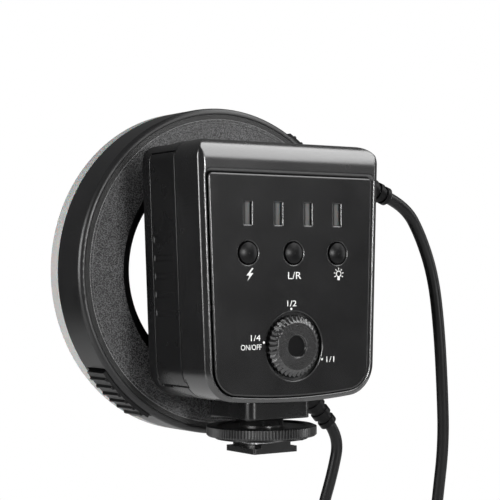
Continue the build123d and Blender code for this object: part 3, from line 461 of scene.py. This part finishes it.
def window_painted_streaks(material):
    """A light strip, a dark line and a grey bar across the width of each level window: painted highlight and
    painted shade in the clear lens.
    """
    tree = material.node_tree
    wrapped = math_node(tree, "WRAP", coordinate(tree, "X"), WINDOW_PITCH, 0.0)
    middle = WINDOW_PITCH / 2
    across = ranged(tree, wrapped, 0, 1, middle - WINDOW_HALF_WIDTH, middle + WINDOW_HALF_WIDTH)
    # Painted light and shade: the ramp's light strip and dark line
    ramp = tree.nodes.new("ShaderNodeValToRGB")
    bands = ramp.color_ramp.elements
    while len(bands) < len(WINDOW_PAINTED_STREAK_SHARES):
        bands.new(0.5)
    for band, (share, level) in zip(bands, WINDOW_PAINTED_STREAK_SHARES):
        band.position = share
        band.color = grey(level)
    tree.links.new(across, ramp.inputs["Fac"])
    return cover(material, 1.0, ramp.outputs["Color"], "MULTIPLY")


# Dock screws
DOCK_SCREW_X = 12.0 * MM
DOCK_SCREW_OFFSET_Z = 32.6 * MM
RECESS_HALF_WIDTH = 0.3 * MM
RECESS_REACH = 1.25 * MM
RECESS_DEPTH = 0.4 * MM
RECESS_SHADE_TONE = 0.004


def cross_recess(material):
    """A sunk cross on each of the four dock screws, which lie alike about the ring's middle, darkened with
    painted shade.
    """
    tree = material.node_tree
    side = math_node(tree, "ABSOLUTE", coordinate(tree, "X"))
    across = math_node(tree, "ABSOLUTE", math_node(tree, "SUBTRACT", side, DOCK_SCREW_X))
    height = math_node(tree, "ABSOLUTE", math_node(tree, "SUBTRACT", coordinate(tree, "Z"), RING_MIDDLE_Z))
    up = math_node(tree, "ABSOLUTE", math_node(tree, "SUBTRACT", height, DOCK_SCREW_OFFSET_Z))
    narrow = math_node(tree, "LESS_THAN", math_node(tree, "MINIMUM", across, up), RECESS_HALF_WIDTH)
    near = math_node(tree, "LESS_THAN", math_node(tree, "MAXIMUM", across, up), RECESS_REACH)
    inside = math_node(tree, "MULTIPLY", narrow, near)
    # Painted shade in the cross recess
    cover(material, inside, grey(RECESS_SHADE_TONE))
    return press(material, inside, RECESS_DEPTH, invert=True)


# Grip grooves of the battery door, with a painted highlight at each groove's far end
GRIP_GROOVES = 5
GRIP_FIRST_Z = 49.3 * MM
GRIP_PITCH = 6.35 * MM
GRIP_HALF_HEIGHT = 1.25 * MM
GRIP_NEAR_Y = -1.0 * MM
GRIP_FAR_Y = 11.75 * MM
GRIP_DEPTH = 0.3 * MM
GRIP_GLINT_LENGTH = 0.75 * MM
GRIP_GLINT_TONE = 0.06


def grip_grooves(material):
    """Five shallow grip grooves across the battery door, each with a painted highlight: a paler far end, as
    if lit.
    """
    tree = material.node_tree
    rise = math_node(tree, "SUBTRACT", coordinate(tree, "Z"), GRIP_FIRST_Z)
    centre = (GRIP_GROOVES - 1) * GRIP_PITCH / 2
    from_centre = math_node(tree, "ABSOLUTE", math_node(tree, "SUBTRACT", rise, centre))
    in_row = math_node(tree, "LESS_THAN", from_centre, centre + GRIP_PITCH / 2)
    from_groove = math_node(tree, "PINGPONG", rise, GRIP_PITCH / 2)
    sunk = ranged(tree, from_groove, 1, 0, GRIP_HALF_HEIGHT / 2, GRIP_HALF_HEIGHT)
    along = coordinate(tree, "Y")
    middle = (GRIP_NEAR_Y + GRIP_FAR_Y) / 2
    from_middle = math_node(tree, "ABSOLUTE", math_node(tree, "SUBTRACT", along, middle))
    inside = math_node(tree, "LESS_THAN", from_middle, GRIP_FAR_Y - middle)
    groove = math_node(tree, "MULTIPLY", math_node(tree, "MULTIPLY", in_row, sunk), inside)
    # Painted highlight: the far end of each groove is paler, standing in for light caught there
    far = math_node(tree, "GREATER_THAN", along, GRIP_FAR_Y - GRIP_GLINT_LENGTH)
    cover(material, math_node(tree, "MULTIPLY", groove, far), grey(GRIP_GLINT_TONE))
    return press(material, groove, GRIP_DEPTH, invert=True)


# Back plate
PLATE_SEEN_RADIUS = 55.85 * MM
PLATE_BORDER_TONE = 0.005


def black_border(material):
    """Plain black outside the plate's seen radius, where the rim's own border lies over it."""
    tree = material.node_tree
    outside = math_node(tree, "GREATER_THAN", ring_distance(tree), PLATE_SEEN_RADIUS)
    return cover(material, outside, grey(PLATE_BORDER_TONE))


# Diffuser
DIFFUSER_FRONT_Y = 46.7 * MM
FRONT_ROUNDING = 0.9 * MM
# Painted light: the front face's colour, far paler than the side's grey of the same plastic
FRONT_PAINTED_LIGHT_COLOUR = (0.80, 0.80, 0.79, 1)
FRONT_LINE_PITCH = 2.4 * MM
FRONT_LINE_HALF_WIDTH = 0.35 * MM
FRONT_LINE_SHADE = 0.82
FROST_RIDGE_PITCH = 1.2 * MM
FROST_RIDGE_DEPTH = 0.12 * MM


def painted_bright_front(material):
    """Painted light: a much paler front face than the darker grey side, though both are the same frosted
    plastic; fine darker rings on the front.
    """
    tree = material.node_tree
    front = ranged(tree, coordinate(tree, "Y"), 0, 1, DIFFUSER_FRONT_Y - FRONT_ROUNDING, DIFFUSER_FRONT_Y)
    wave = math_node(tree, "PINGPONG", ring_distance(tree), FRONT_LINE_PITCH / 2)
    line = ranged(tree, wave, FRONT_LINE_SHADE, 1.0, 0, FRONT_LINE_HALF_WIDTH)
    level = tree.nodes.new("ShaderNodeMix")
    level.data_type = "RGBA"
    level.inputs["A"].default_value = grey(0)
    level.inputs["B"].default_value = FRONT_PAINTED_LIGHT_COLOUR
    tree.links.new(line, level.inputs["Factor"])
    return cover(material, front, level.outputs["Result"])


# Fine ridges round the foot's stem
STEM_RIDGE_PITCH = 0.5 * MM
STEM_RIDGE_DEPTH = 0.16 * MM
STEM_LOW_Z = 9.4 * MM
STEM_HIGH_Z = 12 * MM


def fine_ridges(material, length, pitch, depth, low=None, high=None):
    """Fine parallel ridges along a measured length, between low and high where these are given."""
    tree = material.node_tree
    height = math_node(tree, "PINGPONG", length, pitch / 2)
    if low is not None:
        for side, edge in (("GREATER_THAN", low), ("LESS_THAN", high)):
            height = math_node(tree, "MULTIPLY", height, math_node(tree, side, length, edge))
    return press(material, height, 2 * depth / pitch)


# Cable: the route's points, from the control unit's strain relief to the ring head's
CABLE_DIAMETER = 4.5 * MM
CABLE_ROUTE = [
    (54.349, -3.9, 91.415),
    (63.746, -3.9, 87.994),
    (71.2, -3.9, 77.0),
    (77.6, -3.7, 61.5),
    (80.8, -3.2, 41.5),
    (83.2, -2.0, 19.5),
    (85.2, -0.4, -3.0),
    (84.4, 2.6, -25.0),
    (83.4, 5.2, -48.0),
    (84.2, 6.0, -71.0),
    (84.7, 6.9, -94.0),
    (82.3, 10.5, -108.2),
    (75.9, 19.8, -116.4),
    (68.1, 31.2, -116.4),
    (61.7, 40.5, -108.2),
    (59.3, 44.1, -95.0),
    (58.6, 43.6, -74.0),
    (57.4, 41.4, -53.0),
    (53.9, 37.6, -33.0),
    (57.0, 33.4, -15.6),
    (59.218, 32.0, -1.768),
    (53.865, 32.0, 4.177),
]
CABLE_SIDES = 20
CABLE_ORDER = 3
CABLE_STEPS = 12


def smooth_line(points):
    """Points along the smooth spline that the route's points control."""
    curve = bpy.data.curves.new("cable_route", "CURVE")
    curve.dimensions = "3D"
    spline = curve.splines.new("NURBS")
    spline.points.add(len(points) - 1)
    for spot, point in zip(spline.points, points):
        spot.co = (*(Vector(point) * MM), 1)
    spline.order_u = CABLE_ORDER
    spline.use_endpoint_u = True
    spline.resolution_u = CABLE_STEPS
    route = add_object("cable_route", curve)
    bpy.context.view_layer.update()
    mesh = bpy.data.meshes.new_from_object(route)
    line = [v.co.copy() for v in mesh.vertices]
    bpy.data.objects.remove(route)
    bpy.data.meshes.remove(mesh)
    return line


def tube_mesh(name, line, radius, sides):
    """A round tube along line, with closed ends."""
    bm = bmesh.new()
    rings = []
    side = Vector((0, 1, 0))
    for index, point in enumerate(line):
        before = line[max(index - 1, 0)]
        after = line[min(index + 1, len(line) - 1)]
        tangent = (after - before).normalized()
        side = (side - tangent * side.dot(tangent)).normalized()
        other = tangent.cross(side)
        spots = []
        for step in range(sides):
            angle = step * math.tau / sides
            spots.append(bm.verts.new(point + radius * (side * math.cos(angle) + other * math.sin(angle))))
        rings.append(spots)
    for first, second in zip(rings, rings[1:]):
        join_rings(bm, first, second)
    bm.faces.new(list(reversed(rings[0])))
    bm.faces.new(rings[-1])
    mesh = mesh_from(bm, name)
    mesh.shade_smooth()
    return mesh


def make_cable():
    """The free cable, a tube along its route from the control unit to the ring head."""
    line = smooth_line(CABLE_ROUTE)
    mesh = tube_mesh("cable_jacket", line, CABLE_DIAMETER / 2, CABLE_SIDES)
    mesh.materials.append(surface("cable_rubber", CABLE_BLACK, 0.34, 0.6 * MM, 0.02 * MM, 0.22))
    cable = add_object("cable_jacket", mesh)
    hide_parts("cable")
    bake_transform(cable)


# Printed marks on the panel: places and sizes in millimetres across and up
PANEL_Y = -20.0 * MM
MARK_RISE = 0.03 * MM
LETTER_DEPTH = 0.02
PRINT_WHITE = (0.62, 0.62, 0.61)
BOLT_PLACE = (-18.2, 62.5)
BOLT_SHAPE = [(0.9, 2.2), (-1.4, -0.35), (-0.1, -0.35), (-1.0, -2.2), (1.4, 0.45), (0.1, 0.45), (1.5, 2.2)]
LAMP_PLACE = (19.5, 62.6)
LAMP_RING = (1.15, 0.85)
LAMP_RAYS = 7
LAMP_RAY_START = -30
LAMP_RAY_TURN = 40
LAMP_RAY = (1.45, 2.15, 0.14)
LAMP_FOOT = (1.15, 2.2, 0.5)
WORDS = [
    ("mark_sides", "L/R", 0.45, 62.1, 5.6, 2.5),
    ("mark_half", "1/2", -0.8, 52.5, 3.9, 2.0),
    ("mark_quarter", "1/4", -15.95, 41.0, 3.9, 2.0),
    ("mark_on_off", "ON/OFF", -17.75, 37.9, 8.4, 1.8),
    ("mark_full", "1/1", 15.6, 32.75, 3.4, 2.0),
]
DOTS = [(-1.07, 50.6), (-12.6, 39.4), (12.0, 32.9)]
DOT_RADIUS = 0.42


def print_marks(name, outline_mesh, material):
    """A flat mesh drawn in X and Z, laid just proud of the panel."""
    piece = add_object(name, outline_mesh)
    outline_mesh.materials.clear()
    outline_mesh.materials.append(material)
    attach(piece, "controller")


def plate_from(polygons, name):
    """Closed thin solids from outlines given as (x, z) in millimetres."""
    bm = bmesh.new()
    for polygon in polygons:
        front = [bm.verts.new((x * MM, PANEL_Y - MARK_RISE, z * MM)) for x, z in polygon]
        back = [bm.verts.new((x * MM, PANEL_Y + MARK_RISE, z * MM)) for x, z in polygon]
        bm.faces.new(front)
        bm.faces.new(list(reversed(back)))
        join_rings(bm, front, back)
    return mesh_from(bm, name)


def disc(x, z, radius, steps=24):
    """Outline of a dot."""
    spots = []
    for step in range(steps):
        angle = step * math.tau / steps
        spots.append((x + radius * math.cos(angle), z + radius * math.sin(angle)))
    return spots


def bar(x, z, angle, near, far, half):
    """Outline of a short ray from near to far."""
    along = (math.cos(angle), math.sin(angle))
    across = (-along[1] * half, along[0] * half)
    return [
        (x + along[0] * near + across[0], z + along[1] * near + across[1]),
        (x + along[0] * near - across[0], z + along[1] * near - across[1]),
        (x + along[0] * far - across[0], z + along[1] * far - across[1]),
        (x + along[0] * far + across[0], z + along[1] * far + across[1]),
    ]


def ring_parts(x, z, outer, inner, steps=24):
    """A ring as a row of small quadrilaterals."""
    parts = []
    for step in range(steps):
        a = step * math.tau / steps
        b = (step + 1) * math.tau / steps
        parts.append([
            (x + inner * math.cos(a), z + inner * math.sin(a)),
            (x + outer * math.cos(a), z + outer * math.sin(a)),
            (x + outer * math.cos(b), z + outer * math.sin(b)),
            (x + inner * math.cos(b), z + inner * math.sin(b)),
        ])
    return parts


def text_mesh(words, middle_x, middle_z, width, height):
    """Generic lettering fitted to width and height, as a thin closed solid."""
    curve = bpy.data.curves.new("words", "FONT")
    curve.body = words
    curve.extrude = LETTER_DEPTH
    holder = add_object("words", curve)
    bpy.context.view_layer.update()
    mesh = bpy.data.meshes.new_from_object(holder)
    bpy.data.objects.remove(holder)
    xs = [v.co.x for v in mesh.vertices]
    ys = [v.co.y for v in mesh.vertices]
    zs = [v.co.z for v in mesh.vertices]
    for v in mesh.vertices:
        share_x = (v.co.x - min(xs)) / (max(xs) - min(xs)) - 0.5
        share_z = (v.co.y - min(ys)) / (max(ys) - min(ys)) - 0.5
        front = v.co.z > (max(zs) + min(zs)) / 2
        v.co = (
            middle_x + share_x * width,
            PANEL_Y - MARK_RISE if front else PANEL_Y + MARK_RISE,
            middle_z + share_z * height,
        )
    return mesh


def make_marks():
    """Bolt, side letters and lamp under the buttons; fractions, ON/OFF and dots round the dial."""
    white = surface("print_white", PRINT_WHITE, 0.5, 0.3 * MM, 0.004 * MM, 0.3, 0.05, soft_edge=0.01 * MM)
    bolt = [(BOLT_PLACE[0] + x, BOLT_PLACE[1] + z) for x, z in BOLT_SHAPE]
    print_marks("mark_bolt", plate_from([bolt], "mark_bolt"), white)
    lamp = ring_parts(*LAMP_PLACE, *LAMP_RING)
    for step in range(LAMP_RAYS):
        angle = math.radians(LAMP_RAY_START + step * LAMP_RAY_TURN)
        lamp.append(bar(*LAMP_PLACE, angle, *LAMP_RAY))
    lamp.append(bar(*LAMP_PLACE, -math.pi / 2, *LAMP_FOOT))
    print_marks("mark_lamp", plate_from(lamp, "mark_lamp"), white)
    for name, text, x, z, width, height in WORDS:
        print_marks(name, text_mesh(text, x * MM, z * MM, width * MM, height * MM), white)
    dots = [disc(x, z, DOT_RADIUS) for x, z in DOTS]
    print_marks("mark_dots", plate_from(dots, "mark_dots"), white)


# Turned pieces
def revolved(name, levels, steps, place, rib_depth=0.0):
    """A closed profile of (radius, height, ribbed), turned; ribbed levels dip at every second step."""
    bm = bmesh.new()
    rings = []
    for radius, height, ribbed in levels:
        spots = []
        for step in range(steps):
            angle = step * math.tau / steps
            reach = radius - rib_depth * (ribbed and step % 2)
            spots.append(bm.verts.new(place(reach * math.cos(angle), reach * math.sin(angle), height)))
        rings.append(spots)
    for first, second in zip(rings, rings[1:] + rings[:1]):
        join_rings(bm, first, second)
    return mesh_from(bm, name)


# Locking wheel with its fine ribs and a painted highlight on their crests
WHEEL_RIBS = 110
WHEEL_RIB_DEPTH = 0.35 * MM
WHEEL_CREST_HIGHLIGHT_TONE = 0.035
WHEEL_RIBBED_BLACK = (0.0028, 0.0028, 0.0030)
WHEEL_BORE = 7.85 * MM
WHEEL_RADIUS = 19.6 * MM
WHEEL_BEVEL = 1.2 * MM
WHEEL_LOW_Z = 4.6 * MM
WHEEL_TOP_Z = 9.4 * MM
WHEEL_RIM_HEIGHT = 0.5 * MM
WHEEL_FOOT_RADIUS = 16.4 * MM
WHEEL_FOOT_RISE = 1.0 * MM
WHEEL_DISH = 0.6 * MM
WHEEL_DISH_MARGIN = 3.4 * MM


def painted_crest_highlights(material):
    """Painted highlight: paler towards the crests of the wheel's ribs, as if lit."""
    tree = material.node_tree
    from_axis = axis_distance(tree, (1, 1, 0))
    crest = ranged(tree, from_axis, 0, 1, WHEEL_RADIUS - WHEEL_RIB_DEPTH / 2, WHEEL_RADIUS)
    return cover(material, crest, grey(WHEEL_CREST_HIGHLIGHT_TONE))


def make_wheel():
    """The wheel's visible form: a stepped foot, bevelled rims, fine ribs between them and a dished top."""
    flat = WHEEL_RADIUS - WHEEL_DISH_MARGIN
    step_z = WHEEL_LOW_Z + WHEEL_FOOT_RISE
    levels = [
        (WHEEL_BORE, WHEEL_LOW_Z, False),
        (WHEEL_FOOT_RADIUS, WHEEL_LOW_Z, False),
        (WHEEL_FOOT_RADIUS, step_z, False),
        (WHEEL_RADIUS - WHEEL_RIM_HEIGHT, step_z, False),
        (WHEEL_RADIUS, step_z + WHEEL_RIM_HEIGHT, True),
        (WHEEL_RADIUS, WHEEL_TOP_Z - WHEEL_RIM_HEIGHT, True),
        (WHEEL_RADIUS - WHEEL_BEVEL, WHEEL_TOP_Z, False),
        (flat, WHEEL_TOP_Z, False),
        (flat - WHEEL_DISH, WHEEL_TOP_Z - WHEEL_DISH, False),
        (WHEEL_BORE, WHEEL_TOP_Z - WHEEL_DISH, False),
    ]
    mesh = revolved("wheel_ribbed", levels, 2 * WHEEL_RIBS, lambda x, y, z: (x, y, z), WHEEL_RIB_DEPTH)
    # The ribbed wheel's finish, with a painted highlight on the rib crests
    crest_finish = surface("wheel_crest_highlight", WHEEL_RIBBED_BLACK, 0.30, 0.3 * MM, 0.006 * MM, 0.4, soft_edge=0.1 * MM)
    mesh.materials.append(painted_crest_highlights(crest_finish))
    wheel = add_object("wheel_ribbed", mesh)
    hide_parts("locking_wheel")
    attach(wheel, "locking_wheel")


# Power dial: a grained face, short ridges at its edge and a smooth dimple
DIAL_Z = 37.8 * MM
DIAL_RADIUS = 10.8 * MM
DIAL_FACE_RADIUS = 8.2 * MM
DIAL_FACE_Y = -22.1 * MM
DIAL_REAR_Y = -18.3 * MM
DIAL_DIMPLE_RADIUS = 3.8 * MM
DIAL_DIMPLE_DEPTH = 0.9 * MM
DIAL_DIMPLE_EDGE = 0.25 * MM
DIAL_RIDGES = 36
DIAL_RIDGE_DEPTH = 0.6 * MM
DIAL_BORE = 3.02 * MM
DIAL_HOLD = 1.60 * MM
DIAL_PIN = 0.05 * MM
DIMPLE_SKIN = 0.1 * MM
DIMPLE_BLACK = (0.0015, 0.0015, 0.0017)


def dial_piece(name, levels, material, rib_depth=0.0):
    """A turned piece about the dial's axis that rides with the dial."""
    mesh = revolved(name, levels, 2 * DIAL_RIDGES, lambda x, z, y: (x, y, DIAL_Z + z), rib_depth)
    mesh.materials.append(material)
    piece = add_object(name, mesh)
    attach(piece, "power_dial")
    return piece


def make_dial():
    """The dial's visible form, in place of the plain solid."""
    floor_y = DIAL_FACE_Y + DIAL_DIMPLE_DEPTH
    rise = (DIAL_REAR_Y - DIAL_FACE_Y) / 2
    levels = [
        (DIAL_PIN, floor_y, False),
        (DIAL_DIMPLE_RADIUS - DIAL_DIMPLE_EDGE, floor_y, False),
        (DIAL_DIMPLE_RADIUS, floor_y - DIAL_DIMPLE_EDGE, False),
        (DIAL_DIMPLE_RADIUS, DIAL_FACE_Y + DIAL_DIMPLE_EDGE, False),
        (DIAL_DIMPLE_RADIUS + DIAL_DIMPLE_EDGE, DIAL_FACE_Y, False),
        (DIAL_FACE_RADIUS, DIAL_FACE_Y, False),
        ((DIAL_FACE_RADIUS + DIAL_RADIUS) / 2, DIAL_FACE_Y + rise / 3, True),
        (DIAL_RADIUS, DIAL_FACE_Y + rise, True),
        (DIAL_RADIUS, DIAL_REAR_Y, True),
        (DIAL_BORE, DIAL_REAR_Y, False),
        (DIAL_BORE, floor_y + DIAL_HOLD, False),
        (DIAL_PIN, floor_y + DIAL_HOLD, False),
    ]
    dial = dial_piece("dial_ridged", levels, nodes["power_dial"].data.materials[0], DIAL_RIDGE_DEPTH)
    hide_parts("power_dial")
    smooth = surface("dimple_smooth", DIMPLE_BLACK, 0.3, 0.4 * MM, 0.002 * MM, 0.2)
    reach = DIAL_DIMPLE_RADIUS - DIAL_DIMPLE_EDGE
    skin = [
        (DIAL_PIN, floor_y - DIMPLE_SKIN, False),
        (reach, floor_y - DIMPLE_SKIN, False),
        (reach, floor_y, False),
        (DIAL_PIN, floor_y, False),
    ]
    dial_piece("dial_dimple", skin, smooth)


# Grip ribs on the two latch buttons
LATCH_TURN = 42.6
LATCH_BUTTON_RADIUS = 61.3 * MM
LATCH_RIBS = 6
LATCH_RIB_TURN = 3.5
LATCH_RIB_RISE = 0.7 * MM
LATCH_RIB_FOOT = 1.1 * MM
LATCH_RIB_CREST = 0.35 * MM
LATCH_RIB_REAR_Y = 26.1 * MM
LATCH_RIB_FRONT_Y = 37.4 * MM
LATCH_RIB_ROOT = 0.15 * MM


def latch_rib(bm, turn):
    """One ridge across a latch button, at turn radians from straight down towards minus X."""
    out = Vector((-math.sin(turn), 0, -math.cos(turn)))
    along = Vector((-math.cos(turn), 0, math.sin(turn)))
    middle = Vector((0, 0, RING_MIDDLE_Z))
    low = LATCH_BUTTON_RADIUS - LATCH_RIB_ROOT
    high = LATCH_BUTTON_RADIUS + LATCH_RIB_RISE
    section = (
        (-LATCH_RIB_FOOT, low), (LATCH_RIB_FOOT, low),
        (LATCH_RIB_CREST, high), (-LATCH_RIB_CREST, high),
    )
    ends = []
    for y in (LATCH_RIB_REAR_Y, LATCH_RIB_FRONT_Y):
        ends.append([bm.verts.new(middle + Vector((0, y, 0)) + along * s + out * r) for s, r in section])
    rear, front = ends
    bm.faces.new(rear)
    bm.faces.new(list(reversed(front)))
    join_rings(bm, rear, front)


def make_latch_ribs():
    """The grip ribs of both latch buttons, which press with their latches."""
    for name, turn in (("lower_latch", LATCH_TURN), ("upper_latch", LATCH_TURN + 180)):
        bm = bmesh.new()
        for index in range(LATCH_RIBS):
            latch_rib(bm, math.radians(turn + LATCH_RIB_TURN * (index - (LATCH_RIBS - 1) / 2)))
        mesh = mesh_from(bm, name + "_ribs")
        mesh.materials.append(nodes[name].data.materials[0])
        ribs = add_object(name + "_ribs", mesh)
        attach(ribs, name)


# Beads where the back plate meets the rim, painted light to stand in for its edge highlights
BEAD_RADII = (54.8 * MM, 55.9 * MM)
BEAD_HIGHLIGHT_TONES = (0.07, 0.15)
BEAD_WIDTH = 0.28 * MM
BEAD_SLOPE = 0.3 * BEAD_WIDTH
BEAD_REAR_Y = 23.61 * MM
BEAD_FRONT_Y = 23.75 * MM
BEAD_STEPS = 144


def make_beads():
    """Two fine beads round the back plate, painted light as edge highlights."""
    for index, (radius, tone) in enumerate(zip(BEAD_RADII, BEAD_HIGHLIGHT_TONES)):
        name = "plate_highlight_bead_%d" % (index + 1)
        inner = radius - BEAD_WIDTH
        levels = [
            (inner, BEAD_FRONT_Y, False),
            (inner + BEAD_SLOPE, BEAD_REAR_Y, False),
            (radius - BEAD_SLOPE, BEAD_REAR_Y, False),
            (radius, BEAD_FRONT_Y, False),
        ]
        mesh = revolved(name, levels, BEAD_STEPS, lambda x, z, y: (x, y, RING_MIDDLE_Z + z))
        # Painted highlight: each bead's light tone stands in for an edge highlight
        mesh.materials.append(surface(name, (tone, tone, tone), 0.35, 0.4 * MM, 0.03 * MM, 0.5, speckle=0.5))
        bead = add_object(name, mesh)
        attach(bead, "ring_head")


make_camera()
make_world()
make_lights()
make_floor()
dress_control_unit()
dress_ring_head()
dress_inner_pieces()
make_cable()
make_wheel()
make_dial()
make_beads()
make_latch_ribs()
make_marks()

bpy.context.scene.view_settings.view_transform = "Standard"
bpy.context.view_layer.update()
